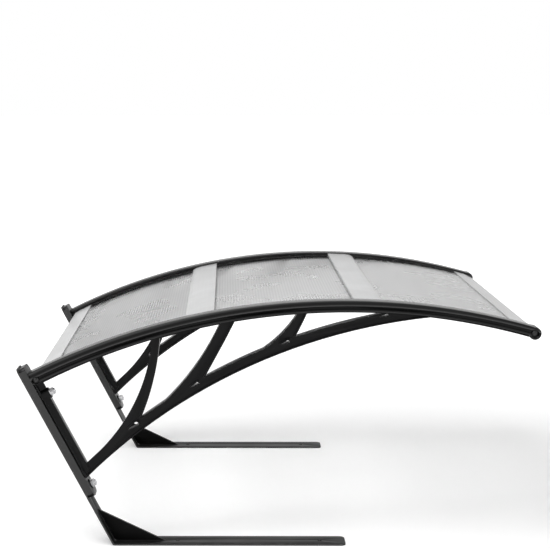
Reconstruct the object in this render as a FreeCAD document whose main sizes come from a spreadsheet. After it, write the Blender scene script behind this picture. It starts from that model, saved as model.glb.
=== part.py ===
import FreeCAD, Part
import math
import os
import Sketcher
from FreeCAD import Placement, Rotation, Vector

# Open garage for a small robot mower: two bent flat-bar legs, two moulded side brackets
# with forked struts, two edge rails and a curved roof of three clear twin-wall sheets.
# Frame: X across the garage, front -Y, up +Z, origin on the ground under the middle.

doc = FreeCAD.newDocument("MowerGarage")
sheet = doc.addObject("Spreadsheet::Sheet", "Sizes")

# Driving dimensions in millimetres and degrees
sizes = {
    # steel leg, gusset and fixings
    "overallWidth": 770,
    "barWidth": 50,
    "barThick": 3,
    "barCorner": 10,
    "bendInside": 3,
    "rearCorner": 310.5,
    "footLength": 444,
    "uprightLean": 27.1,
    "uprightLength": 383.5,
    "anchorBore": 8,
    "anchorInset": 122.5,
    "anchorSpacing": 273,
    "gussetThick": 4,
    "gussetFoot": 99.5,
    "gussetRise": 73.5,
    "gussetClip": 6,
    "boltDiameter": 8,
    "boltClearance": 0.2,
    "boltHeadWidth": 17,
    "boltHeadHeight": 3.2,
    "boltEnd": 2,
    "nutFlat": 13,
    "nutHeight": 8,
    "nutFlange": 17,
    "nutFlangeThick": 1.6,
    "lowerBoltAbove": 21.7,
    "upperBoltBelow": 68.9,
    # wall plate on the upright
    "plateThick": 12,
    "plateStart": 101,
    "plateTopMargin": 2.5,
    "plateTopCorner": 11,
    "plateFootCorner": 14,
    "padThick": 1.5,
    "padDiameter": 20,
    "bossReach": 17,
    "bossDiameter": 21,
    "ribWidth": 16,
    "ribReach": 13.5,
    "cornerReach": 14.5,
    # arc of the rail, hung on the upright's top, and of the roof above it
    "railEndBelow": 33.9,
    "roofPitch": 26.25,
    "roofSpan": 922.1,
    "archRadius": 1313.2,
    "crestShift": 9.9,
    "crestTighter": 8,
    "crestLift": 7.3,
    "noseRadius": 11.5,
    # rail section
    "railDepth": 12.5,
    "coveDepth": 4,
    "ridgeAbove": 1.9,
    "ridgeBelow": 1.6,
    "grooveWide": 6.3,
    "lowerRim": 4.2,
    "grooveDepth": 7,
    "pocketDiameter": 15,
    "pocketDepth": 9,
    "pocketWall": 1.2,
    "pocketClear": 0.3,
    "pocketBelow": 6.75,
    "lipReach": 34,
    "lipThick": 2.5,
    "ledgeReach": 42,
    "ledgeThick": 2.5,
    "slotDepth": 1.5,
    # moulded members of the bracket
    "memberWidth": 25,
    "memberWeb": 5,
    "flangeThick": 2.2,
    "armBelow": 15.7,
    "armTighter": 51.5,
    "strutRadius": 1064,
    "strutDepth": 19,
    "strutFoot": 138.3,
    "strutTip": 730.2,
    "holeLift": 15.5,
    "holeRim": 1.8,
    # clear roof
    "panelThick": 4,
    "panelGap": 0.25,
    "sheetBelowArch": 1.5,
    "panelSideGap": 1,
    "rearSheetLength": 319.5,
    "middleSheetLength": 317.6,
    "jointWidth": 57,
    "jointFlange": 1.5,
    "jointWeb": 2,
    "jointRise": 6,
    "jointSlope": 19,
    "stripWall": 1.6,
    "rearStripCover": 36,
    "frontStripCover": 25,
    "stripUnder": 20,
    "endGap": 0.3,
    "rearPortBehind": 5.6,
    "frontPortAhead": 11.3,
    "screwDiameter": 4.5,
    "screwHeadWidth": 9,
    "screwHeadHeight": 3,
    "screwGrip": 22,
    "portWall": 2.4,
}

for row, (alias, value) in enumerate(sizes.items(), start=1):
    sheet.set(f"A{row}", alias)
    sheet.set(f"B{row}", str(value))
    sheet.setAlias(f"B{row}", alias)
doc.recompute()


def size(alias):
    return float(getattr(sheet, alias))


# Forks between strut and arm, with stations measured forward from the rail's rear end: their
# feet on the strut, their heads on the arm, how far each edge bows, and the hole at the foot.
forks = [
    {"footRear": 115.2, "footFront": 193.5, "headRear": 215.6, "headFront": 230.3,
     "bowRear": 20.6, "bowFront": 6.8, "holeFront": 184.7, "holeRear": 170.7,
     "holeWide": 4.2, "holeNarrow": 1.8},
    {"footRear": 239.2, "footFront": 313.1, "headRear": 342.2, "headFront": 370.2,
     "bowRear": 8.4, "bowFront": 0.8, "holeFront": 300.2, "holeRear": 288.2,
     "holeWide": 2.8, "holeNarrow": 1.3},
    {"footRear": 422.2, "footFront": 480.6, "headRear": 486.2, "headFront": 503.2,
     "bowRear": 5, "bowFront": 0.6, "holeFront": 468.2, "holeRear": 455.2,
     "holeWide": 2.8, "holeNarrow": 1.3},
]
tipHole = {"holeFront": 650.2, "holeRear": 639.2, "holeWide": 2.6, "holeNarrow": 1.3}

lean = math.radians(size("uprightLean"))
barMiddle = (size("overallWidth") - size("barWidth")) / 2
plateFace = size("barThick") + size("plateThick")


# Helpers for bound primitives
def bind(item, **formulas):
    for name, formula in formulas.items():
        item.setExpression(name.replace("_", "."), str(formula))
    return item


def cylinder(name, radius, height, x, y, z, axis=Vector(0, 1, 0), angle=90):
    item = doc.addObject("Part::Cylinder", name)
    item.Placement = Placement(Vector(), Rotation(axis, 90))
    bind(item, Radius=radius, Height=height)
    bind(item, Placement_Base_x=x, Placement_Base_y=y, Placement_Base_z=z)
    return bind(item, Placement_Rotation_Angle=angle)


def fuse(name, items):
    item = doc.addObject("Part::MultiFuse", name)
    item.Shapes = items
    item.Refine = True
    return item


def cut(name, base, tool):
    item = doc.addObject("Part::Cut", name)
    item.Base = base
    item.Tool = tool
    return item


def solidFeature(name, shape):
    item = doc.addObject("Part::Feature", name)
    item.Shape = shape
    return item


parts = []


def keep(item, label):
    item.Label = label
    parts.append(item)
    return item


def mirrored(item, label):
    twin = doc.addObject("Part::Mirroring", "Twin")
    twin.Source = item
    twin.Base = Vector()
    twin.Normal = Vector(1, 0, 0)
    return keep(twin, label)


def bothSides(item, stem):
    keep(item, stem + "_left")
    mirrored(item, stem + "_right")


def originPlane(body, role):
    return next(item for item in body.Origin.OriginFeatures if item.Role == role)


def addOutline(sketch, corners):
    count = len(corners)
    for index, start in enumerate(corners):
        end = corners[(index + 1) % count]
        sketch.addGeometry(Part.LineSegment(Vector(*start, 0), Vector(*end, 0)), False)
    for index in range(count):
        sketch.addConstraint(Sketcher.Constraint("Coincident", index, 2, (index + 1) % count, 1))


def limit(sketch, formula, *definition):
    number = sketch.addConstraint(Sketcher.Constraint(*definition))
    sketch.setExpression(f"Constraints[{number}]", formula)


# The leg's own directions: along the upright from the rear corner, and out of its face
def onUpright(reach, along):
    y = size("rearCorner") + along * math.sin(lean) - reach * math.cos(lean)
    z = along * math.cos(lean) + reach * math.sin(lean)
    return y, z


def uprightY(reach, along):
    return f"Sizes.rearCorner + ({along}) * sin(Sizes.uprightLean) - ({reach}) * cos(Sizes.uprightLean)"


def uprightZ(reach, along):
    return f"({along}) * cos(Sizes.uprightLean) + ({reach}) * sin(Sizes.uprightLean)"


leftMiddle = "-(Sizes.overallWidth - Sizes.barWidth) / 2"


# Leg: one flat bar bent at the rear corner, padded from its side profile
def makeLegBlank():
    body = doc.addObject("PartDesign::Body", "LegBlank")
    sketch = body.newObject("Sketcher::SketchObject", "LegProfile")
    sketch.AttachmentSupport = (originPlane(body, "YZ_Plane"), "")
    sketch.MapMode = "FlatFace"
    corner = size("rearCorner")
    thick = size("barThick")
    top = size("uprightLength")
    bendSetback = thick * math.tan(math.pi / 4 - lean / 2)
    addOutline(sketch, [
        (corner - size("footLength"), 0),
        (corner, 0),
        onUpright(0, top),
        onUpright(thick, top),
        (corner - bendSetback, thick),
        (corner - size("footLength"), thick),
    ])
    sketch.addConstraint(Sketcher.Constraint("PointOnObject", 0, 1, -1))
    sketch.addConstraint(Sketcher.Constraint("Horizontal", 0))
    sketch.addConstraint(Sketcher.Constraint("Perpendicular", 1, 2))
    sketch.addConstraint(Sketcher.Constraint("Parallel", 1, 3))
    sketch.addConstraint(Sketcher.Constraint("Horizontal", 4))
    sketch.addConstraint(Sketcher.Constraint("Vertical", 5))
    limit(sketch, "Sizes.rearCorner", "DistanceX", -1, 1, 0, 2, corner)
    limit(sketch, "Sizes.footLength", "Distance", 0, size("footLength"))
    limit(sketch, "Sizes.uprightLength * sin(Sizes.uprightLean)", "DistanceX", 1, 1, 1, 2,
          top * math.sin(lean))
    limit(sketch, "Sizes.uprightLength * cos(Sizes.uprightLean)", "DistanceY", 1, 1, 1, 2,
          top * math.cos(lean))
    limit(sketch, "Sizes.barThick", "Distance", 2, thick)
    limit(sketch, "Sizes.barThick", "Distance", 5, thick)
    doc.recompute()
    pad = body.newObject("PartDesign::Pad", "LegPad")
    pad.Profile = sketch
    pad.Midplane = True
    bind(pad, Length="Sizes.barWidth")
    doc.recompute()
    addFillet(body, pad, "LegEnds", "Sizes.barCorner", isEndCorner)
    addFillet(body, body.Tip, "BendInside", "Sizes.bendInside", lambda edge: isBend(edge, thick))
    addFillet(body, body.Tip, "BendOutside", "Sizes.bendInside + Sizes.barThick",
              lambda edge: isBend(edge, 0))
    bind(body, Placement_Base_x=leftMiddle)
    return body


def isEndCorner(edge):
    return abs(edge.Length - size("barThick")) < 0.01


def isBend(edge, height):
    middle = edge.CenterOfMass
    lengthwise = abs(edge.Length - size("barWidth")) < 0.01
    return lengthwise and abs(middle.z - height) < 0.01 and abs(middle.y - size("rearCorner")) < 3


def addFillet(body, base, name, radius, wanted):
    names = [f"Edge{number}" for number, edge in enumerate(base.Shape.Edges, start=1) if wanted(edge)]
    fillet = body.newObject("PartDesign::Fillet", name)
    fillet.Base = (base, names)
    bind(fillet, Radius=radius)
    doc.recompute()
    return fillet


# Parts that stand square on the upright are placed by their reach and by the way along it
def acrossUpright(name, radius, reach, height, along, x=leftMiddle):
    return cylinder(name, radius, height, x, uprightY(reach, along), uprightZ(reach, along),
                    Vector(1, 0, 0), "90 - Sizes.uprightLean")


def makeLeg():
    y = "Sizes.rearCorner - Sizes.anchorInset"
    deep = "Sizes.barThick * 3"
    bores = [
        cylinder("RearAnchor", "Sizes.anchorBore / 2", deep, leftMiddle, y, "-Sizes.barThick", angle=0),
        cylinder("FrontAnchor", "Sizes.anchorBore / 2", deep, leftMiddle,
                 y + " - Sizes.anchorSpacing", "-Sizes.barThick", angle=0),
    ]
    for along in (lowerBolt, upperBolt):
        bores.append(acrossUpright("BarBore", boltBore, "-Sizes.barThick", deep, along))
    return cut("Leg", makeLegBlank(), fuse("LegBores", bores))


# Gusset: a triangle welded in the bend, its inner corner clipped clear of the bend
def makeGusset():
    body = doc.addObject("PartDesign::Body", "Gusset")
    sketch = body.newObject("Sketcher::SketchObject", "GussetProfile")
    sketch.AttachmentSupport = (originPlane(body, "YZ_Plane"), "")
    sketch.MapMode = "FlatFace"
    thick = size("barThick")
    tip = size("rearCorner") - size("gussetFoot")
    clip = size("rearCorner") - size("gussetClip")
    addOutline(sketch, [(tip, thick), (clip, thick), onUpright(thick, size("gussetClip")),
                        onUpright(thick, size("gussetRise"))])
    corners = [
        ("Sizes.rearCorner - Sizes.gussetFoot", "Sizes.barThick"),
        ("Sizes.rearCorner - Sizes.gussetClip", "Sizes.barThick"),
        (uprightY("Sizes.barThick", "Sizes.gussetClip"), uprightZ("Sizes.barThick", "Sizes.gussetClip")),
        (uprightY("Sizes.barThick", "Sizes.gussetRise"), uprightZ("Sizes.barThick", "Sizes.gussetRise")),
    ]
    for index, (acrossFormula, upFormula) in enumerate(corners):
        start = sketch.Geometry[index].StartPoint
        limit(sketch, acrossFormula, "DistanceX", -1, 1, index, 1, start.x)
        limit(sketch, upFormula, "DistanceY", -1, 1, index, 1, start.y)
    doc.recompute()
    pad = body.newObject("PartDesign::Pad", "GussetPad")
    pad.Profile = sketch
    pad.Midplane = True
    bind(pad, Length="Sizes.gussetThick")
    bind(body, Placement_Base_x=leftMiddle)
    return body


# Coach bolt with a low round head behind the bar, and its flange nut on the bracket
def makeBolt(name, along, seat):
    head = doc.addObject("Part::Cone", name + "Head")
    head.Placement = Placement(Vector(), Rotation(Vector(1, 0, 0), 1))
    bind(head, Radius1="Sizes.boltHeadWidth * 0.3", Radius2="Sizes.boltHeadWidth / 2",
         Height="Sizes.boltHeadHeight", Placement_Base_x=leftMiddle,
         Placement_Base_y=uprightY("-Sizes.boltHeadHeight", along),
         Placement_Base_z=uprightZ("-Sizes.boltHeadHeight", along),
         Placement_Rotation_Angle="90 - Sizes.uprightLean")
    length = f"{seat} + Sizes.nutHeight + Sizes.boltEnd"
    shank = acrossUpright(name + "Shank", "Sizes.boltDiameter / 2", "0", length, along)
    return fuse(name, [head, shank])


def makeNut(name, along, seat):
    flange = acrossUpright(name + "Flange", "Sizes.nutFlange / 2", seat, "Sizes.nutFlangeThick", along)
    hexagon = doc.addObject("Part::Prism", name + "Hexagon")
    hexagon.Placement = Placement(Vector(), Rotation(Vector(1, 0, 0), 1))
    bind(hexagon, Circumradius="Sizes.nutFlat / 2 / cos(30)", Height="Sizes.nutHeight",
         Placement_Base_x=leftMiddle, Placement_Base_y=uprightY(seat, along),
         Placement_Base_z=uprightZ(seat, along), Placement_Rotation_Angle="90 - Sizes.uprightLean")
    bore = acrossUpright(name + "Bore", boltBore, seat, "Sizes.nutHeight", along)
    return cut(name, fuse(name + "Solid", [flange, hexagon]), bore)


boltBore = "Sizes.boltDiameter / 2 + Sizes.boltClearance"
lowerBolt = "(Sizes.plateStart + Sizes.lowerBoltAbove)"
upperBolt = "(Sizes.uprightLength - Sizes.upperBoltBelow)"
lowerBoltAt = size("plateStart") + size("lowerBoltAbove")
upperBoltAt = size("uprightLength") - size("upperBoltBelow")
lowerSeat = "(Sizes.barThick + Sizes.plateThick + Sizes.padThick)"
upperSeat = "(Sizes.barThick + Sizes.plateThick + Sizes.bossReach)"


# Circles in the side view: centre Y, centre Z, radius
def circleUnderTop(centerY, top, radius):
    return centerY, top - radius, radius


def widened(circle, extra):
    return circle[0], circle[1], circle[2] + extra


def heightOn(circle, y):
    return circle[1] + math.sqrt(circle[2] ** 2 - (y - circle[0]) ** 2)


def circleThrough(start, end, radius):
    length = math.dist(start, end)
    across = ((end[0] - start[0]) / length, (end[1] - start[1]) / length)
    drop = math.sqrt(radius ** 2 - length ** 2 / 4)
    centerY = (start[0] + end[0]) / 2 - drop * across[1]
    centerZ = (start[1] + end[1]) / 2 + drop * across[0]
    return centerY, centerZ, radius


# The groove's middle arc starts at the screw pocket in front of the wall plate, at the roof's
# pitch, and every other arc of rail, roof and arm follows from it.
def archCentre():
    turn = math.radians(size("roofPitch"))
    radius = size("archRadius") - size("pocketBelow")
    return rearPocket[0] - radius * math.sin(turn), rearPocket[1] - radius * math.cos(turn)


rearPocket = onUpright(plateFace + size("pocketDiameter") / 2 + size("pocketWall") + size("pocketClear"),
                       size("uprightLength") - size("railEndBelow"))
arch = (*archCentre(), size("archRadius"))
archTop = arch[1] + arch[2]
slotHeight = size("panelThick") + 2 * size("panelGap")
crest = circleUnderTop(arch[0] + size("crestShift"), archTop + size("crestLift"),
                       size("archRadius") - size("crestTighter"))
slotTop = widened(arch, -size("sheetBelowArch"))
chamberFloor = widened(slotTop, size("lipThick"))
chamberTop = widened(crest, -size("lipThick"))
slotFloor = widened(slotTop, -slotHeight)
ledgeUnder = widened(slotFloor, -size("ledgeThick"))
grooveTop = widened(arch, -size("ridgeBelow"))
grooveFoot = widened(grooveTop, -size("grooveWide"))
railUnder = widened(grooveFoot, -size("lowerRim"))
ridgeTop = widened(arch, size("ridgeAbove"))
pocketRow = widened(arch, -size("pocketBelow"))
armUnder = circleUnderTop(arch[0], archTop - size("armBelow"), size("archRadius") - size("armTighter"))
noseAt = rearPocket[0] - size("roofSpan")
nosePocket = (noseAt, heightOn(pocketRow, noseAt))
strutTipAt = rearPocket[0] - size("strutTip")
strutUnder = circleThrough(onUpright(plateFace, size("strutFoot")),
                           (strutTipAt, heightOn(armUnder, strutTipAt)), size("strutRadius"))
strutOver = widened(strutUnder, size("strutDepth"))


# Side outlines are drawn in the YZ plane through X = 0 and then extruded
def point(y, z):
    return Vector(0, y, z)


def arcOn(circle, start, end):
    places = [point(y, heightOn(circle, y)) for y in (start, (start + end) / 2, end)]
    return Part.Arc(*places).toShape()


def line(start, end):
    return Part.makeLine(point(*start), point(*end))


def faceFrom(edges):
    return Part.Face(Part.Wire(edges))


def polygonFace(corners):
    return Part.Face(Part.makePolygon([point(*corner) for corner in corners + corners[:1]]))


def bandFace(lower, upper, front, rear):
    return faceFrom([
        arcOn(lower, front, rear),
        line((rear, heightOn(lower, rear)), (rear, heightOn(upper, rear))),
        arcOn(upper, rear, front),
        line((front, heightOn(upper, front)), (front, heightOn(lower, front))),
    ])


def faceUnder(circle, front, rear):
    return faceFrom([
        arcOn(circle, front, rear),
        line((rear, heightOn(circle, rear)), (rear, 0)),
        line((rear, 0), (front, 0)),
        line((front, 0), (front, heightOn(circle, front))),
    ])


def discFace(center, radius):
    edge = Part.makeCircle(radius, point(*center), Vector(1, 0, 0))
    return Part.Face(Part.Wire([edge]))


def bowedEdge(foot, head, bow):
    length = math.dist(foot, head)
    across = ((head[0] - foot[0]) / length, (head[1] - foot[1]) / length)
    middle = ((foot[0] + head[0]) / 2 - bow * across[1], (foot[1] + head[1]) / 2 + bow * across[0])
    return Part.Arc(point(*foot), point(*middle), point(*head)).toShape()


def slab(face, start, end):
    moved = face.copy()
    moved.translate(Vector(start, 0, 0))
    return moved.extrude(Vector(end - start, 0, 0))


beyond = size("archRadius") / 2
pastPlate = size("rearCorner") + size("railEndBelow") + size("uprightLength") / 2
outerPlane = -size("overallWidth") / 2
memberOuter = -barMiddle - size("memberWidth") / 2
memberInner = memberOuter + size("memberWidth")


def inFrontOfPlate(clear=0):
    lower = onUpright(plateFace + clear, -beyond)
    upper = onUpright(plateFace + clear, beyond)
    return polygonFace([lower, upper, (-beyond, upper[1]), (-beyond, lower[1])])


def station(circle, distance, raised=0):
    y = rearPocket[0] - distance
    return y, heightOn(circle, y) + raised


def forkFace(fork):
    into = size("flangeThick")
    footRear = station(strutOver, fork["footRear"])
    footFront = station(strutOver, fork["footFront"])
    headRear = station(armUnder, fork["headRear"], into)
    headFront = station(armUnder, fork["headFront"], into)
    rootRear = (footRear[0], footRear[1] - into)
    rootFront = (footFront[0], footFront[1] - into)
    return faceFrom([
        bowedEdge(footRear, headRear, fork["bowRear"]),
        line(headRear, headFront),
        bowedEdge(footFront, headFront, fork["bowFront"]),
        line(footFront, rootFront),
        line(rootFront, rootRear),
        line(rootRear, footRear),
    ])


# A drop: two circles, one wide and one narrow, with their outer tangents
def dropFace(drop, rim):
    row = widened(strutUnder, size("holeLift"))
    wide = point(*station(row, drop["holeFront"]))
    narrow = point(*station(row, drop["holeRear"]))
    wideRadius = drop["holeWide"] + rim
    narrowRadius = drop["holeNarrow"] + rim
    along = (narrow - wide).normalize()
    turn = math.acos((wideRadius - narrowRadius) / wide.distanceToPoint(narrow))
    side = Vector(0, -along.z, along.y)
    upper = along * math.cos(turn) + side * math.sin(turn)
    lower = along * math.cos(turn) - side * math.sin(turn)
    return faceFrom([
        Part.makeLine(wide + upper * wideRadius, narrow + upper * narrowRadius),
        Part.Arc(narrow + upper * narrowRadius, narrow + along * narrowRadius,
                 narrow + lower * narrowRadius).toShape(),
        Part.makeLine(narrow + lower * narrowRadius, wide + lower * wideRadius),
        Part.Arc(wide + lower * wideRadius, wide - along * wideRadius,
                 wide + upper * wideRadius).toShape(),
    ])


# Corner between the wall plate and the arm, above the upper bolt's boss
def cornerFace():
    reach = plateFace + size("cornerReach")
    return polygonFace([
        onUpright(plateFace, upperBoltAt),
        onUpright(reach, upperBoltAt),
        onUpright(reach, size("uprightLength")),
        onUpright(plateFace, size("uprightLength")),
    ])


# Side view of the bracket's members: arm, strut, forks and the corner at the upper bolt
def memberFace():
    front = noseAt
    arm = bandFace(armUnder, ledgeUnder, front, pastPlate)
    strut = bandFace(strutUnder, strutOver, strutTipAt, onUpright(0, upperBoltAt)[0])
    underLedge = faceUnder(ledgeUnder, front, pastPlate)
    face = arm.fuse([strut, cornerFace()] + [forkFace(fork) for fork in forks])
    face = face.common(underLedge).common(inFrontOfPlate())
    face = face.cut(discFace(nosePocket, size("noseRadius")))
    return max(face.removeSplitter().Faces, key=lambda one: one.Area)


# The recess keeps a flange of even width along every edge of the members
def recessFace(face):
    rim = size("flangeThick")
    front = noseAt
    rear = onUpright(plateFace, size("uprightLength"))[0]
    over = widened(ledgeUnder, -rim)
    inner = bandFace(widened(armUnder, rim), over, front, rear)
    inner = inner.fuse(bandFace(widened(strutUnder, rim), over, strutTipAt, rear))
    inner = inner.common(inFrontOfPlate(rim)).cut(discFace(nosePocket, size("noseRadius") + rim))
    windows = [wire for wire in face.Wires if not wire.isSame(face.OuterWire)]
    return inner.cut([Part.Face(wire).makeOffset2D(rim) for wire in windows])


def makePlateSolid():
    width = size("barWidth")
    start = size("plateStart")
    length = size("uprightLength") - size("plateTopMargin") - start
    solid = Part.makeBox(width, length, size("plateThick"))
    for radius, end in ((size("plateTopCorner"), length), (size("plateFootCorner"), 0)):
        edges = [edge for edge in solid.Edges
                 if abs(edge.Length - size("plateThick")) < 0.01 and abs(edge.CenterOfMass.y - end) < 0.01]
        solid = solid.makeFillet(radius, edges)
    base = onUpright(size("barThick"), start)
    solid.Placement = Placement(
        Vector(-barMiddle - width / 2, *base), Rotation(Vector(1, 0, 0), 90 - size("uprightLean")))
    return solid


def postOnPlate(radius, reach, height, along):
    base = onUpright(reach, along)
    out = Vector(0, -math.cos(lean), math.sin(lean))
    return Part.makeCylinder(radius, height, Vector(-barMiddle, *base), out)


def makeRib():
    half = size("ribWidth") / 2
    reach = size("ribReach")
    face = polygonFace([
        onUpright(plateFace, size("strutFoot")),
        onUpright(plateFace + reach, size("strutFoot") + reach),
        onUpright(plateFace + reach, upperBoltAt),
        onUpright(plateFace, upperBoltAt),
    ])
    return slab(face, -barMiddle - half, -barMiddle + half)


def crossHole(center, radius, start, end):
    return slab(discFace(center, radius), start, end)


def makeBracket():
    face = memberFace()
    webOuter = -barMiddle - size("memberWeb") / 2
    webInner = -barMiddle + size("memberWeb") / 2
    member = slab(face, memberOuter, memberInner)
    recess = recessFace(face)
    drops = forks + [tipHole]
    for drop in drops:
        recess = recess.cut(dropFace(drop, size("holeRim")))
    member = member.cut([slab(recess, memberOuter, webOuter), slab(recess, webInner, memberInner)])
    pad = postOnPlate(size("padDiameter") / 2, plateFace, size("padThick"), lowerBoltAt)
    boss = postOnPlate(size("bossDiameter") / 2, plateFace, size("bossReach"), upperBoltAt)
    solid = member.fuse([makePlateSolid(), makeRib(), pad, boss]).removeSplitter()
    bore = size("boltDiameter") / 2 + size("boltClearance")
    deep = plateFace + size("bossReach") + size("nutHeight")
    holes = [postOnPlate(bore, 0, deep, lowerBoltAt), postOnPlate(bore, 0, deep, upperBoltAt)]
    holes += [slab(dropFace(drop, 0), memberOuter, memberInner) for drop in drops]
    holes.append(crossHole(rearPocket, screwBore, memberOuter, memberInner))
    return solidFeature("Bracket", solid.cut(holes))


screwBore = size("screwDiameter") / 2 + size("boltClearance")


# Rail: outer wall with a groove under a ridge, a hollow lip and a ledge that hold the sheets' edge
def makeRail():
    front = noseAt
    rear = pastPlate
    wall = outerPlane + size("railDepth")
    lipEdge = outerPlane + size("lipReach")
    nose = crossHole(nosePocket, size("noseRadius"), outerPlane, lipEdge)
    solid = slab(bandFace(railUnder, ridgeTop, front, rear), outerPlane, wall).fuse([
        slab(bandFace(railUnder, crest, front, rear), outerPlane + size("coveDepth"), wall),
        slab(bandFace(slotTop, crest, front, rear), wall, lipEdge),
        slab(bandFace(ledgeUnder, slotFloor, front, rear), wall, outerPlane + size("ledgeReach")),
        nose,
        crossHole(rearPocket, size("pocketDiameter") / 2 + size("pocketWall"), outerPlane, wall),
    ])
    solid = solid.common(slab(inFrontOfPlate(), outerPlane, outerPlane + size("ledgeReach")))
    pocket = size("pocketDiameter") / 2
    floor = outerPlane + size("pocketDepth")
    chamber = bandFace(chamberFloor, chamberTop, front + size("lipReach"), rear)
    cuts = [
        slab(bandFace(grooveFoot, grooveTop, nosePocket[0], rearPocket[0]), outerPlane,
             outerPlane + size("grooveDepth")),
        slab(bandFace(slotFloor, slotTop, front, rear), wall - size("slotDepth"), wall),
        slab(chamber, wall, lipEdge - size("lipThick")),
    ]
    for center in (nosePocket, rearPocket):
        cuts.append(crossHole(center, pocket, outerPlane, floor))
        cuts.append(crossHole(center, screwBore, outerPlane, outerPlane + size("ledgeReach")))
    return solidFeature("Rail", solid.cut(cuts).removeSplitter())


# Angles about the arch's centre, positive towards the rear
def angleOf(place):
    return math.degrees(math.atan2(place[0] - arch[0], place[1] - arch[1]))


def angleAlong(length):
    return math.degrees(length / slotTop[2])


def aboutArch(angle):
    return Placement(Vector(0, arch[0], arch[1]), Rotation(Vector(1, 0, 0), -angle))


def sector(inner, outer, start, end, halfWidth):
    def roller(radius):
        return Part.makeCylinder(radius, 2 * halfWidth, Vector(-halfWidth, 0, 0), Vector(1, 0, 0))

    corners = [(0, 0)]
    for angle in (start, end):
        turn = math.radians(angle)
        corners.append((2 * outer * math.sin(turn), 2 * outer * math.cos(turn)))
    wedge = slab(polygonFace(corners), -halfWidth, halfWidth)
    return roller(outer).cut(roller(inner)).common(wedge)


rearEnd = angleOf(rearPocket) - angleAlong(size("rearPortBehind"))
frontEnd = angleOf(nosePocket) + angleAlong(size("frontPortAhead"))
rearJoint = rearEnd - angleAlong(size("rearSheetLength"))
frontJoint = rearJoint - angleAlong(size("middleSheetLength"))
sheetEndInset = angleAlong(size("stripWall") + size("endGap"))
jointInset = angleAlong(size("jointWeb") / 2 + size("endGap"))
lipWidth = size("overallWidth") / 2 - size("lipReach") - size("endGap")
ledgeWidth = size("overallWidth") / 2 - size("ledgeReach") - size("endGap")


# Clear sheet: a rectangle turned about the arch's centre
def makePanel(name, front, rear):
    body = doc.addObject("PartDesign::Body", name)
    sketch = body.newObject("Sketcher::SketchObject", name + "Section")
    sketch.AttachmentSupport = (originPlane(body, "XZ_Plane"), "")
    sketch.MapMode = "FlatFace"
    outer = slotTop[2] - size("panelGap")
    inner = outer - size("panelThick")
    half = -outerPlane - size("railDepth") + size("slotDepth") - size("panelSideGap")
    addOutline(sketch, [(-half, inner), (half, inner), (half, outer), (-half, outer)])
    for index in (0, 2):
        sketch.addConstraint(Sketcher.Constraint("Horizontal", index))
    for index in (1, 3):
        sketch.addConstraint(Sketcher.Constraint("Vertical", index))
    halfFormula = "Sizes.overallWidth / 2 - Sizes.railDepth + Sizes.slotDepth - Sizes.panelSideGap"
    limit(sketch, halfFormula, "DistanceX", 0, 1, -1, 1, half)
    limit(sketch, f"2 * ({halfFormula})", "Distance", 0, 2 * half)
    limit(sketch, "Sizes.panelThick", "Distance", 1, size("panelThick"))
    limit(sketch, "Sizes.archRadius - Sizes.sheetBelowArch - Sizes.panelGap - Sizes.panelThick",
          "DistanceY", -1, 1, 0, 1, inner)
    doc.recompute()
    turned = body.newObject("PartDesign::Revolution", name + "Turn")
    turned.Profile = sketch
    turned.ReferenceAxis = (sketch, ["H_Axis"])
    turned.Angle = rear - front
    turned.Reversed = False
    body.Placement = aboutArch(rear)
    return body


# Joint between two sheets: a web with flanges over and under them, and a low hump on top
# Joint: a flange over and one under the sheets, a web between them and a hollow cap on top,
# square towards the middle sheet and sloped on its outward side
def makeJoint(name, outward, angle):
    half = size("jointWidth") / 2
    reach = angleAlong(half)
    web = angleAlong(size("jointWeb") / 2)
    flange = size("jointFlange")
    over = slotTop[2]
    under = slotFloor[2]
    rise = size("jointRise")
    slope = size("jointSlope")
    outline = [(-half, 0), (half, 0), (half, flange), (half - slope / 3, rise * 3 / 4), (half - slope, rise),
               (-half, rise)]
    cap = polygonFace([(y * outward, over + z) for y, z in outline])
    solid = slab(cap.cut(cap.makeOffset2D(-flange)), -lipWidth, lipWidth)
    solid.rotate(Vector(), Vector(1, 0, 0), -angle)
    solid = solid.fuse([
        sector(over, over + flange, angle - reach, angle + reach, lipWidth),
        sector(under - flange, over, angle - web, angle + web, ledgeWidth),
        sector(under - flange, under, angle - reach, angle + reach, ledgeWidth),
    ]).removeSplitter()
    item = solidFeature(name, solid)
    item.Placement = Placement(Vector(0, arch[0], arch[1]), Rotation())
    return item


# End strips: a hollow profile past the end of the sheets, with a flange over and one under.
# Their outline is drawn round the arch's centre, with Y along the roof and Z outwards.
def makeStrip(name, hollow, port, cover, outward, angle):
    wall = size("stripWall")
    over = slotTop[2]
    under = slotFloor[2]
    outer = polygonFace([(y * outward, over + z) for y, z in hollow])
    inner = outer.makeOffset2D(-wall)
    portRing = discFace(port, size("screwDiameter") / 2 + size("portWall"))
    body = slab(outer.cut(inner).fuse(portRing.common(outer)), -ledgeWidth, ledgeWidth)
    back = -wall / 2 * outward
    def flange(length, low, high, halfWidth):
        edge = -length * outward
        return slab(polygonFace([(back, low), (edge, low), (edge, high), (back, high)]), -halfWidth, halfWidth)
    solid = body.fuse([
        flange(cover, over, over + wall, lipWidth),
        flange(size("stripUnder"), under - wall, under, ledgeWidth),
    ])
    bore = slab(discFace(port, size("screwDiameter") / 2), -ledgeWidth, ledgeWidth)
    item = solidFeature(name, solid.cut(bore).removeSplitter())
    item.Placement = aboutArch(angle)
    return item


def localPlace(place, angle):
    turn = math.radians(angle)
    y, z = place[0] - arch[0], place[1] - arch[1]
    return y * math.cos(turn) - z * math.sin(turn), y * math.sin(turn) + z * math.cos(turn)


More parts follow.
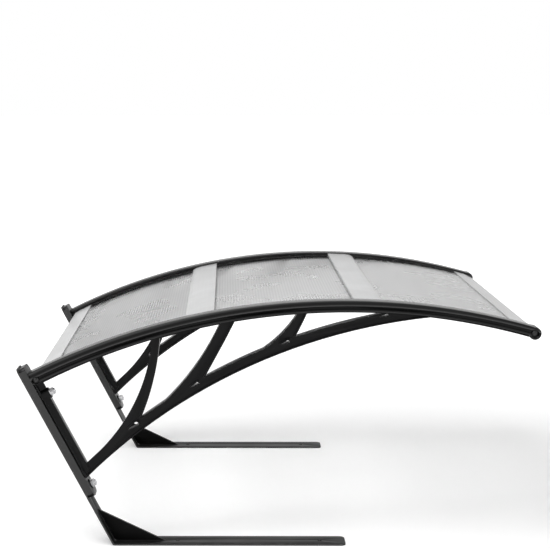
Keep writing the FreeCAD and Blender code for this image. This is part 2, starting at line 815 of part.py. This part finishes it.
def makeScrew(name, center):
    head = cylinder(name + "Head", "Sizes.screwHeadWidth / 2", "Sizes.screwHeadHeight",
                    "-Sizes.overallWidth / 2 + Sizes.pocketDepth - Sizes.screwHeadHeight",
                    center[0], center[1])
    shank = cylinder(name + "Shank", "Sizes.screwDiameter / 2",
                     "Sizes.ledgeReach + Sizes.endGap + Sizes.screwGrip - Sizes.pocketDepth",
                     "-Sizes.overallWidth / 2 + Sizes.pocketDepth", center[0], center[1])
    return fuse(name, [head, shank])


bothSides(makeLeg(), "leg")
bothSides(makeGusset(), "gusset")
bothSides(makeBracket(), "bracket")
bothSides(makeRail(), "rail")
for level, along, seat in (("lower", lowerBolt, lowerSeat), ("upper", upperBolt, upperSeat)):
    bothSides(makeBolt(level + "Bolt", along, seat), level + "_bolt")
    bothSides(makeNut(level + "Nut", along, seat), level + "_nut")
bothSides(makeScrew("frontScrew", nosePocket), "front_screw")
bothSides(makeScrew("rearScrew", rearPocket), "rear_screw")

keep(makePanel("RearSheet", rearJoint + jointInset, rearEnd - sheetEndInset), "roof_sheet_rear")
keep(makePanel("MiddleSheet", frontJoint + jointInset, rearJoint - jointInset), "roof_sheet_middle")
keep(makePanel("FrontSheet", frontEnd + sheetEndInset, frontJoint - jointInset), "roof_sheet_front")
keep(makeJoint("RearJoint", 1, rearJoint), "joint_profile_rear")
keep(makeJoint("FrontJoint", -1, frontJoint), "joint_profile_front")

wall = size("stripWall")
rearHollow = [(-wall, wall), (5, wall), (11.5, -5), (11.5, -12), (9, -14.5), (0, -14.5), (-wall, -13)]
frontHollow = [(-wall, wall), (0, wall), (17, -1.9), (18, -4), (17, -10), (13, -13.5), (-wall, -13.5)]
keep(makeStrip("RearStrip", rearHollow, localPlace(rearPocket, rearEnd), size("rearStripCover"), 1, rearEnd),
     "rear_strip")
keep(makeStrip("FrontStrip", frontHollow, localPlace(nosePocket, frontEnd), size("frontStripCover"), -1,
               frontEnd), "front_strip")
doc.recompute()

for item in doc.Objects:
    if "Invalid" in item.State or "Error" in item.State:
        raise RuntimeError(f"{item.Name} failed: {item.State}")
os.makedirs("parts", exist_ok=True)
for item in parts:
    if item.Shape.isNull() or not item.Shape.isValid():
        raise RuntimeError(f"{item.Label} has no valid shape")
for item in parts:
    item.Shape.exportStep(f"parts/{item.Label}.step")
    print(item.Label, len(item.Shape.Solids), round(item.Shape.Volume / 1000, 1), "cm3")
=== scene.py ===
import math

import bpy
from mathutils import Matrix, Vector


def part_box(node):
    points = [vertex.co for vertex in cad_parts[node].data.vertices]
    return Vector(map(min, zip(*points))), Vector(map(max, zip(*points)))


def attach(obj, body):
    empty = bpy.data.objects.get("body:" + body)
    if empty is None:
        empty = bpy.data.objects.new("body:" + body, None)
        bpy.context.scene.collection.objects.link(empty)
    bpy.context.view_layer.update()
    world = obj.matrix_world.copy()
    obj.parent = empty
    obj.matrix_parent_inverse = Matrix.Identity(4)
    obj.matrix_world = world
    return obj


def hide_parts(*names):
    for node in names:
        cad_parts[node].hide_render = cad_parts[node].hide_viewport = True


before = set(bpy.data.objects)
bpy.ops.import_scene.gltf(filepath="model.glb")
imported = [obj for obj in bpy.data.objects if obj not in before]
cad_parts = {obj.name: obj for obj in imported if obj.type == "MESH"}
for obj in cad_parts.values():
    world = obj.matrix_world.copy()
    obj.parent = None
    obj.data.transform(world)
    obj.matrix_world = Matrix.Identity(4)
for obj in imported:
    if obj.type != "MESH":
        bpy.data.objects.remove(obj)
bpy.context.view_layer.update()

print("stage: frame loaded,", len(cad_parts), "nodes")
for item in bpy.context.selected_objects:
    item.select_set(False)

# How squarely a face has to look left or right to count as a side face
squareToSide = 0.9


# Shader maths: one wrapper round a socket, with the operators that the materials use
class Value:
    def __init__(self, recipe, socket):
        self.recipe = recipe
        self.socket = socket

    def math(self, operation, first, second):
        return self.recipe.math(operation, first, second)

    def __add__(self, other):
        return self.math("ADD", self, other)

    def __radd__(self, other):
        return self.math("ADD", other, self)

    def __sub__(self, other):
        return self.math("SUBTRACT", self, other)

    def __rsub__(self, other):
        return self.math("SUBTRACT", other, self)

    def __mul__(self, other):
        return self.math("MULTIPLY", self, other)

    def __rmul__(self, other):
        return self.math("MULTIPLY", other, self)


class Made:
    def __init__(self, recipe, node):
        self.recipe = recipe
        self.shader = node

    def __getitem__(self, name):
        return Value(self.recipe, self.shader.outputs[name])


class Recipe:
    def __init__(self, name):
        self.material = bpy.data.materials.new(name)
        self.material.use_nodes = True
        self.tree = self.material.node_tree
        self.tree.nodes.clear()

    def node(self, kind, settings=None, sockets=None):
        made = self.tree.nodes.new(kind)
        for key, value in (settings or {}).items():
            if key == "stops":
                ramp = made.color_ramp.elements
                while len(ramp) < len(value):
                    ramp.new(0.5)
                for element, (place, color) in zip(ramp, value):
                    element.position = place
                    element.color = color
            else:
                setattr(made, key, value)
        for key, value in (sockets or {}).items():
            if isinstance(value, Value):
                self.tree.links.new(value.socket, made.inputs[key])
            else:
                made.inputs[key].default_value = value
        return Made(self, made)

    def math(self, operation, first, second=0.0):
        return self.node("ShaderNodeMath", {"operation": operation}, {0: first, 1: second})["Value"]

    def objectPlace(self):
        return self.node("ShaderNodeTexCoord")["Object"]

    def noise(self, scale, detail=3, roughness=0.5, place=None):
        return self.node("ShaderNodeTexNoise", {}, {
            "Vector": place or self.objectPlace(), "Scale": scale, "Detail": detail, "Roughness": roughness,
        })["Fac"]

    # Noise drawn out across the part, as a die leaves it
    def streaks(self, scale, stretch):
        place = self.objectPlace()
        drawnOut = self.node("ShaderNodeMapping", {}, {"Vector": place, "Scale": (stretch, 1, 1)})
        return self.noise(scale, 3, 0.6, drawnOut["Vector"])

    def ramp(self, factor, stops):
        return self.node("ShaderNodeValToRGB", {"stops": stops}, {"Fac": factor})["Color"]

    def bump(self, height, distance, strength=1.0):
        return self.node("ShaderNodeBump", {}, {
            "Height": height, "Distance": distance, "Strength": strength,
        })["Normal"]

    def mix(self, factor, first, second):
        return self.node("ShaderNodeMix", {"data_type": "RGBA"}, {0: factor, 6: first, 7: second})[2]

    # 1 on faces that look left or right
    def sideways(self):
        normal = self.node("ShaderNodeNewGeometry")["Normal"]
        facing = self.node("ShaderNodeSeparateXYZ", {}, {"Vector": normal})["X"]
        return self.math("GREATER_THAN", self.math("ABSOLUTE", facing), squareToSide)

    # 1 on the side faces of the plate that lies on the upright bar, which get a painted lighter colour
    # standing for the light on them
    def plateSide(self):
        v = upright
        lean = math.radians(v["lean"])
        place = self.node("ShaderNodeSeparateXYZ", {}, {"Vector": self.objectPlace()})
        reach = (v["cornerY"] - place["Y"]) * math.cos(lean) + place["Z"] * math.sin(lean)
        return self.math("LESS_THAN", reach, v["plateReach"]) * self.sideways()

    def finish(self, sockets):
        shader = self.node("ShaderNodeBsdfPrincipled", {}, sockets)
        output = self.tree.nodes.new("ShaderNodeOutputMaterial")
        self.tree.links.new(shader["BSDF"].socket, output.inputs["Surface"])
        return self.material


def grey(level, green=0, blue=0):
    return (level, level + green, level + blue, 1)


def between(low, high, factor):
    return low + (high - low) * factor


# Two stops of a ramp, dark where the noise is low and light where it is high
def darkToLight(dark, light, start=0.3, end=0.7):
    return [(start, dark), (end, light)]


def paint(item, *materials):
    item.data.materials.clear()
    for material in materials:
        item.data.materials.append(material)


# The roof's arc: its centre, the sheets' two faces, the skins and flutes between them, in metres
roofArc = {
    "centerY": -0.129435, "centerZ": -0.849568, "top": 1.31145, "floor": 1.30745,
    "skin": 0.0006, "flute": 0.0006, "pitch": 0.0056, "steps": 40, "seam": 0.000001,
}

# The leaning upright: its angle, its foot and how far the bracket's plate reaches out of its rear face
upright = {"lean": 27.1, "cornerY": 0.3105, "plateReach": 0.0155}

# Moulded black plastic of the brackets: satin skin, fine pebble, slight gloss changes, and a painted lighter
# colour on the plate's side faces standing for the light on them
blackPlastic = {
    "dark": 0.0035, "light": 0.0060, "roughLow": 0.24, "roughHigh": 0.36, "plateSide": 0.045,
    "pebbleScale": 1500, "pebbleDepth": 0.00005, "pebbleStrength": 0.35, "flowScale": 22,
    "blueTint": 0.0008, "specular": 0.13,
}


def makeBlackPlastic():
    v = blackPlastic
    recipe = Recipe("mouldedBlack")
    flow = recipe.noise(v["flowScale"], 4, 0.55)
    pebble = recipe.noise(v["pebbleScale"], 2, 0.6)
    color = recipe.ramp(flow, darkToLight(grey(v["dark"]), grey(v["light"], blue=v["blueTint"])))
    return recipe.finish({
        # painted light: the plate's side faces take a lighter grey, as if lit
        "Base Color": recipe.mix(recipe.plateSide(), color, grey(v["plateSide"])),
        "Roughness": between(v["roughLow"], v["roughHigh"], flow),
        "Specular IOR Level": v["specular"],
        "Normal": recipe.bump(pebble, v["pebbleDepth"], v["pebbleStrength"]),
    })


# Rounded edges, painted lighter as a highlight where they catch the lamps
highlightEdge = {"dark": 0.06, "light": 0.10, "roughLow": 0.16, "roughHigh": 0.3, "scale": 30, "specular": 0.4}


def makeHighlightEdge():
    v = highlightEdge
    recipe = Recipe("highlightBlackEdge")
    flow = recipe.noise(v["scale"], 3, 0.5)
    return recipe.finish({
        # painted highlight: a grey much lighter than the moulding on every rounded edge
        "Base Color": recipe.ramp(flow, darkToLight(grey(v["dark"]), grey(v["light"]))),
        "Roughness": between(v["roughLow"], v["roughHigh"], flow),
        "Specular IOR Level": v["specular"],
    })


# Rails: the same plastic, with painted highlights along the crests of their mouldings and painted shade in
# the groove between them. Each band is a distance from the roof's centre and the brightness painted there.
railPlastic = {
    "from": 1.290, "to": 1.330, "roughLow": 0.2, "roughHigh": 0.3, "specular": 0.13, "flowScale": 22,
    "waver": 0.0006,
    "bands": (
        (1.2905, 0.008), (1.3003, 0.010), (1.3018, 0.036), (1.3030, 0.012), (1.3050, 0.002),
        (1.3098, 0.002), (1.3112, 0.085), (1.3126, 0.040), (1.3145, 0.010), (1.3175, 0.006),
        (1.3196, 0.034), (1.3213, 0.060), (1.3226, 0.012), (1.3240, 0.004), (1.3256, 0.030),
        (1.3280, 0.020),
    ),
}


def makeRailPlastic():
    v = railPlastic
    recipe = Recipe("mouldedBlackRail")
    reach = v["to"] - v["from"]
    stops = [((distance - v["from"]) / reach, grey(level)) for distance, level in v["bands"]]
    place = recipe.node("ShaderNodeSeparateXYZ", {}, {"Vector": recipe.objectPlace()})
    across = place["Y"] - roofArc["centerY"]
    above = place["Z"] - roofArc["centerZ"]
    flow = recipe.noise(v["flowScale"], 4, 0.55)
    away = recipe.math("SQRT", across * across + above * above) + v["waver"] * (flow - 0.5)
    return recipe.finish({
        # painted highlights and shade, ramped by distance from the roof's centre
        "Base Color": recipe.ramp((away - v["from"]) * (1 / reach), stops),
        "Roughness": between(v["roughLow"], v["roughHigh"], flow),
        "Specular IOR Level": v["specular"],
    })


# Powder coat of the steel bars: fine orange peel and dust specks
powderCoat = {
    "dark": 0.0055, "light": 0.0095, "roughLow": 0.36, "roughHigh": 0.52, "specular": 0.14, "side": 0.05,
    "peelScale": 900, "peelDepth": 0.00008, "peelStrength": 0.5, "cloudScale": 14, "speckScale": 420,
    "speckShare": 0.3, "gussetShade": 0.4,
}


# The side faces of the legs' bars get a painted lighter colour standing for the light on them, and a gusset
# a painted shade that darkens it all over
def makePowderCoat(name, shade, paintedLitSides):
    v = powderCoat
    recipe = Recipe(name)
    cloud = recipe.noise(v["cloudScale"], 3, 0.5)
    peel = recipe.noise(v["peelScale"], 2, 0.55)
    speck = recipe.noise(v["speckScale"], 1, 0.3)
    blend = cloud * (1 - v["speckShare"]) + speck * v["speckShare"]
    # painted shade: a shade under 1 darkens the whole colour, as for the gusset
    color = recipe.ramp(blend, darkToLight(grey(v["dark"] * shade), grey(v["light"] * shade), end=0.72))
    # painted light: side faces take a lighter grey, as if lit
    if paintedLitSides:
        color = recipe.mix(recipe.sideways(), color, grey(v["side"]))
    return recipe.finish({
        "Base Color": color,
        "Roughness": between(v["roughLow"], v["roughHigh"], cloud),
        "Specular IOR Level": v["specular"] * shade,
        "Normal": recipe.bump(peel, v["peelDepth"], v["peelStrength"]),
    })


# Bright zinc of bolts and nuts, faintly blue
zinc = {
    "dark": 0.46, "light": 0.68, "blueDark": 0.012, "blueLight": 0.01, "roughLow": 0.2, "roughHigh": 0.36,
    "spangleScale": 260,
}


def makeZinc():
    v = zinc
    recipe = Recipe("brightZinc")
    spangle = recipe.noise(v["spangleScale"], 2, 0.5)
    dark = grey(v["dark"], blue=v["blueDark"])
    light = grey(v["light"], blue=v["blueLight"])
    return recipe.finish({
        "Base Color": recipe.ramp(spangle, darkToLight(dark, light, 0.32, 0.68)),
        "Metallic": 1.0,
        "Roughness": between(v["roughLow"], v["roughHigh"], spangle),
    })


# Clear twin-wall sheet: thin skins that blur what lies far below, with light and dark bands painted into the
# colour at the flute pitch, standing for the light that the flutes bend
clearSheet = {
    "bandDark": 0.80, "bandLight": 1.0, "roughLow": 0.24, "roughHigh": 0.32, "bend": 1.08, "gloss": 0.5,
    "streakScale": 130, "streakStretch": 0.02, "streakShare": 0.2, "hazeScale": 9,
}


def makeClearSheet():
    v = clearSheet
    recipe = Recipe("twinWallClear")
    place = recipe.node("ShaderNodeSeparateXYZ", {}, {"Vector": recipe.objectPlace()})
    fromCenter = recipe.math("ARCTAN2", place["Y"] - roofArc["centerY"], place["Z"] - roofArc["centerZ"])
    # painted light: a sine band at the flute pitch lightens and darkens the colour
    wave = recipe.math("SINE", fromCenter * (2 * math.pi * roofArc["top"] / roofArc["pitch"]))
    paintedFluteBand = wave * 0.5 + 0.5
    streak = recipe.streaks(v["streakScale"], v["streakStretch"])
    haze = recipe.noise(v["hazeScale"], 3, 0.5)
    blend = paintedFluteBand * (1 - v["streakShare"]) + streak * v["streakShare"]
    return recipe.finish({
        "Base Color": recipe.ramp(blend, darkToLight(grey(v["bandDark"]), grey(v["bandLight"]), 0.1, 0.9)),
        "Roughness": between(v["roughLow"], v["roughHigh"], haze),
        "Transmission Weight": 1.0,
        "IOR": v["bend"],
        "Specular IOR Level": v["gloss"],
    })


# Flute walls between the skins
fluteWall = {"dark": 0.9, "light": 1.0, "rough": 0.3, "bend": 1.1, "scale": 60}


def makeFluteWall():
    v = fluteWall
    recipe = Recipe("fluteWallClear")
    haze = recipe.noise(v["scale"], 2, 0.5)
    return recipe.finish({
        "Base Color": recipe.ramp(haze, darkToLight(grey(v["dark"]), grey(v["light"]))),
        "Roughness": v["rough"],
        "Transmission Weight": 1.0,
        "IOR": v["bend"],
    })


# Frosted profiles between and past the sheets
frostedProfile = {
    "dark": 0.45, "light": 0.54, "alphaLow": 0.86, "alphaHigh": 0.93, "roughLow": 0.24, "roughHigh": 0.4,
    "greenTint": 0.003, "blueTint": 0.006, "cloudScale": 16,
    "streakScale": 160, "streakStretch": 0.02, "streakDepth": 0.00004, "streakStrength": 0.4,
}


def makeFrostedProfile():
    v = frostedProfile
    recipe = Recipe("frostedExtrusion")
    streak = recipe.streaks(v["streakScale"], v["streakStretch"])
    cloud = recipe.noise(v["cloudScale"], 3, 0.5)
    light = grey(v["light"], v["greenTint"], v["blueTint"])
    return recipe.finish({
        "Base Color": recipe.ramp(cloud, darkToLight(grey(v["dark"]), light)),
        "Roughness": between(v["roughLow"], v["roughHigh"], cloud),
        "Alpha": between(v["alphaLow"], v["alphaHigh"], streak),
        "Normal": recipe.bump(streak, v["streakDepth"], v["streakStrength"]),
    })


# Screws painted dark, standing for the shade deep in their pockets
shadedScrewMetal = {"dark": 0.015, "light": 0.05, "roughLow": 0.16, "roughHigh": 0.3, "scale": 300}


def makeShadedScrewSteel():
    v = shadedScrewMetal
    recipe = Recipe("shadedScrewSteel")
    grain = recipe.noise(v["scale"], 2, 0.5)
    return recipe.finish({
        # painted shade: a near-black base stands for the dark pocket
        "Base Color": recipe.ramp(grain, darkToLight(grey(v["dark"]), grey(v["light"]))),
        "Metallic": 1.0,
        "Roughness": between(v["roughLow"], v["roughHigh"], grain),
    })


mouldedBlack = makeBlackPlastic()
highlightBlackEdge = makeHighlightEdge()
mouldedBlackRail = makeRailPlastic()
powderCoatBlack = makePowderCoat("powderCoatBlack", 1, True)
powderCoatShadedGusset = makePowderCoat("powderCoatShadedGusset", powderCoat["gussetShade"], False)
brightZinc = makeZinc()
shadedScrewSteel = makeShadedScrewSteel()
twinWallClear = makeClearSheet()
fluteWallClear = makeFluteWall()
frostedExtrusion = makeFrostedProfile()
print("stage: materials made")


def choose(item):
    for other in bpy.context.selected_objects:
        other.select_set(False)
    item.select_set(True)
    bpy.context.view_layer.objects.active = item


def settle(item):
    choose(item)
    bpy.ops.object.transform_apply(location=True, rotation=True, scale=True)


def applyModifier(item, kind, settings):
    choose(item)
    modifier = item.modifiers.new(kind.lower(), kind)
    for key, value in settings.items():
        setattr(modifier, key, value)
    bpy.ops.object.modifier_apply(modifier=modifier.name)


def addPiece(item, name, replaced):
    item.name = name
    item.data.name = name
    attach(item, "root")
    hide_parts(replaced)


# Seam and flatness that a copy's mesh is cleaned to, in metres and degrees, and the angle that stays sharp
cleaning = {"seam": 0.00001, "flat": 1, "sharp": 38}


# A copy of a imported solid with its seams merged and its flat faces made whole
def mergedCopy(node):
    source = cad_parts[node]
    item = source.copy()
    item.data = source.data.copy()
    item.parent = None
    for key in list(item.keys()):
        del item[key]
    bpy.context.scene.collection.objects.link(item)
    choose(item)
    bpy.ops.object.mode_set(mode="EDIT")
    bpy.ops.mesh.select_all(action="SELECT")
    bpy.ops.mesh.remove_doubles(threshold=cleaning["seam"])
    bpy.ops.mesh.dissolve_limited(angle_limit=math.radians(cleaning["flat"]), delimit={"NORMAL"})
    bpy.ops.object.mode_set(mode="OBJECT")
    if item.data.has_custom_normals:
        bpy.ops.mesh.customdata_custom_splitnormals_clear()
    return item


# The same with its edges rounded, as the mould leaves them, and the last material on the rounded edges
def roundedCopy(node, radius, segments, angle, materials):
    item = mergedCopy(node)
    before = len(item.data.vertices)
    paint(item, *materials)
    applyModifier(item, "BEVEL", {
        "width": radius, "segments": segments, "limit_method": "ANGLE", "angle_limit": math.radians(angle),
        "use_clamp_overlap": True, "harden_normals": False, "material": len(materials) - 1,
    })
    print("stage: rounded", node, "from", before, "to", len(item.data.vertices), "corners")
    choose(item)
    bpy.ops.object.shade_smooth_by_angle(angle=math.radians(cleaning["sharp"]))
    return item


# Radius and segments of the rounded edges, the angle past which an edge is rounded, slot and materials
roundedPieces = {
    # the rounded edges of the brackets, legs and gussets take the painted highlight material
    "bracket": (0.0013, 2, 40, "black_plastic", (mouldedBlack, highlightBlackEdge)),
    "rail": (0.0012, 3, 40, "black_plastic", (mouldedBlackRail,)),
    "leg": (0.0008, 2, 40, "powder_coat", (powderCoatBlack, highlightBlackEdge)),
    "gusset": (0.0007, 2, 40, "powder_coat", (powderCoatShadedGusset, highlightBlackEdge)),
    "joint_profile": (0.0012, 3, 12, "frosted_profile", (frostedExtrusion,)),
}
for kind, (radius, segments, angle, slot, materials) in roundedPieces.items():
    for place in ("rear", "front") if kind == "joint_profile" else ("left", "right"):
        node = f"{kind}_{place}"
        addPiece(roundedCopy(node, radius, segments, angle, materials), f"{node}_rounded", node)

# The first word that a node's name holds gives its finish
finishes = (
    ("bolt", brightZinc), ("nut", brightZinc), ("screw", shadedScrewSteel), ("sheet", twinWallClear),
    ("strip", frostedExtrusion), ("joint", frostedExtrusion), ("leg", powderCoatBlack),
    ("gusset", powderCoatShadedGusset), ("rail", mouldedBlackRail), ("bracket", mouldedBlack),
)
for node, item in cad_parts.items():
    paint(item, next(material for word, material in finishes if word in node))
print("stage: solids dressed")


# One skin of a twin-wall sheet: a thin upright strip, turned to the sheet's rear edge and spun along the arc
def sweptSkin(middle, width, inner, outer, start, end):
    v = roofArc
    center = (0, v["centerY"], v["centerZ"])
    height = v["centerZ"] + (inner + outer) / 2
    bpy.ops.mesh.primitive_plane_add(size=1, location=(middle, v["centerY"], height),
                                     rotation=(math.pi / 2, 0, 0))
    skin = bpy.context.active_object
    skin.scale = (width, outer - inner, 1)
    settle(skin)
    bpy.ops.object.mode_set(mode="EDIT")
    bpy.ops.mesh.select_all(action="SELECT")
    bpy.ops.transform.rotate(value=start, orient_axis="X", center_override=center)
    bpy.ops.mesh.spin(steps=v["steps"], angle=end - start, center=center, axis=(1, 0, 0))
    bpy.ops.mesh.select_all(action="SELECT")
    bpy.ops.mesh.remove_doubles(threshold=v["seam"])
    bpy.ops.mesh.normals_make_consistent(inside=False)
    bpy.ops.object.mode_set(mode="OBJECT")
    return skin


# The flute walls between the skins: one thin wall, copied along the arc at its pitch
def fluteRow(middle, width, start, end):
    v = roofArc
    center = (0, v["centerY"], v["centerZ"])
    height = v["centerZ"] + (v["top"] + v["floor"]) / 2
    bpy.ops.mesh.primitive_cube_add(size=1, location=(middle, v["centerY"], height))
    flutes = bpy.context.active_object
    flutes.scale = (width, v["flute"], v["top"] - v["floor"] - 2 * v["skin"])
    settle(flutes)
    count = round((end - start) * v["top"] / v["pitch"])
    edge = v["flute"] / 2 / v["top"]
    bpy.ops.object.mode_set(mode="EDIT")
    bpy.ops.mesh.select_all(action="SELECT")
    bpy.ops.transform.rotate(value=start + edge, orient_axis="X", center_override=center)
    bpy.ops.mesh.spin(steps=count, angle=end - start - 2 * edge, center=center, axis=(1, 0, 0), dupli=True)
    bpy.ops.object.mode_set(mode="OBJECT")
    return flutes


# Skins and flutes of one sheet, from the box of the solid that they replace
def makeSheet(name):
    v = roofArc
    node = f"roof_sheet_{name}"
    low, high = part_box(node)
    middle = (low.x + high.x) / 2
    width = high.x - low.x
    start = math.asin((low.y - v["centerY"]) / v["top"])
    end = math.asin((high.y - v["centerY"]) / v["top"])
    topSkin = sweptSkin(middle, width, v["top"] - v["skin"], v["top"], start, end)
    underSkin = sweptSkin(middle, width, v["floor"], v["floor"] + v["skin"], start, end)
    flutes = fluteRow(middle, width, start, end)
    paint(topSkin, twinWallClear)
    paint(underSkin, twinWallClear)
    paint(flutes, fluteWallClear)
    addPiece(topSkin, f"{name}_sheet_top_skin", node)
    addPiece(underSkin, f"{name}_sheet_under_skin", node)
    addPiece(flutes, f"{name}_sheet_flutes", node)


for name in ("rear", "middle", "front"):
    makeSheet(name)
print("stage: sheets made")

# Camera of the photograph's lower view
camera = {
    "lens": 91.27, "shiftX": 0.0956, "shiftY": 0.2288, "place": (-2.9130, 0.0947, 0.8689),
    "tiltDown": 13.013, "turn": 0.165, "sensor": 36, "seesTo": 100,
}


def makeCamera():
    v = camera
    data = bpy.data.cameras.new("viewer")
    data.lens = v["lens"]
    data.sensor_width = v["sensor"]
    data.shift_x = v["shiftX"]
    data.shift_y = v["shiftY"]
    data.clip_end = v["seesTo"]
    item = bpy.data.objects.new("viewer", data)
    bpy.context.scene.collection.objects.link(item)
    item.location = v["place"]
    item.rotation_euler = (math.radians(90 - v["tiltDown"]), 0, math.radians(-90 + v["turn"]))
    bpy.context.scene.camera = item


makeCamera()

# Pale floor, soft box lights and an even white surround
studio = {
    "floorSize": 60, "floorColor": 0.88, "floorColorLight": 0.89, "mottleScale": 3, "floorRough": 0.9,
    "floorGloss": 0.1,
    "floorGlow": 0.17, "farGlow": 0.7, "glowNear": 0.7, "glowFar": 2.6, "worldLight": 0.5,
    "keyPower": 95, "keySize": 2.2, "keyPlace": (-0.9, 1.5, 3.2),
    "fillPower": 26, "fillSize": 2.5, "fillPlace": (-3.6, -1.2, 2.0), "aim": (0, 0, 0.2),
}


def makeFloor():
    bpy.ops.mesh.primitive_plane_add(size=studio["floorSize"], location=(0, 0, 0))
    floor = bpy.context.active_object
    floor.name = "studioFloor"
    recipe = Recipe("paleFloor")
    mottle = recipe.noise(studio["mottleScale"], 2, 0.5)
    color = recipe.ramp(mottle, darkToLight(grey(studio["floorColor"]), grey(studio["floorColorLight"])))
    away = recipe.node("ShaderNodeVectorMath", {"operation": "LENGTH"}, {0: recipe.objectPlace()})["Value"]
    # The floor glows more with distance, so that it runs out into white
    glow = recipe.node("ShaderNodeMapRange", {"interpolation_type": "SMOOTHSTEP"}, {
        "Value": away, "From Min": studio["glowNear"], "From Max": studio["glowFar"],
        "To Min": studio["floorGlow"], "To Max": studio["farGlow"],
    })["Result"]
    rays = recipe.node("ShaderNodeLightPath")
    seen = recipe.math("MAXIMUM", rays["Is Camera Ray"], rays["Is Transmission Ray"])
    seen = recipe.math("MAXIMUM", seen, rays["Is Glossy Ray"])
    paint(floor, recipe.finish({
        "Base Color": color,
        "Roughness": studio["floorRough"],
        "Specular IOR Level": studio["floorGloss"],
        "Emission Color": seen * glow,
        "Emission Strength": 1.0,
    }))


def makeLamp(name, power, size, place):
    data = bpy.data.lights.new(name, "AREA")
    data.shape = "DISK"
    data.energy = power
    data.size = size
    item = bpy.data.objects.new(name, data)
    bpy.context.scene.collection.objects.link(item)
    item.location = place
    item.rotation_euler = (Vector(studio["aim"]) - Vector(place)).to_track_quat("-Z", "Y").to_euler()


def makeWorld():
    world = bpy.data.worlds.new("studioWorld")
    bpy.context.scene.world = world
    world.use_nodes = True
    tree = world.node_tree
    tree.nodes.clear()
    rays = tree.nodes.new("ShaderNodeLightPath")
    seen = tree.nodes.new("ShaderNodeMath")
    seen.operation = "MAXIMUM"
    tree.links.new(rays.outputs["Is Camera Ray"], seen.inputs[0])
    tree.links.new(rays.outputs["Is Transmission Ray"], seen.inputs[1])
    bright = tree.nodes.new("ShaderNodeMath")
    bright.operation = "MAXIMUM"
    tree.links.new(seen.outputs[0], bright.inputs[0])
    tree.links.new(rays.outputs["Is Glossy Ray"], bright.inputs[1])
    strength = tree.nodes.new("ShaderNodeMapRange")
    strength.inputs["To Min"].default_value = studio["worldLight"]
    strength.inputs["To Max"].default_value = 1
    tree.links.new(bright.outputs[0], strength.inputs["Value"])
    light = tree.nodes.new("ShaderNodeBackground")
    light.inputs["Color"].default_value = (1, 1, 1, 1)
    tree.links.new(strength.outputs["Result"], light.inputs["Strength"])
    output = tree.nodes.new("ShaderNodeOutputWorld")
    tree.links.new(light.outputs[0], output.inputs["Surface"])


makeFloor()
makeLamp("keyBox", studio["keyPower"], studio["keySize"], studio["keyPlace"])
makeLamp("fillBox", studio["fillPower"], studio["fillSize"], studio["fillPlace"])
makeWorld()
bpy.context.scene.view_settings.view_transform = "Standard"
print("stage: studio made")
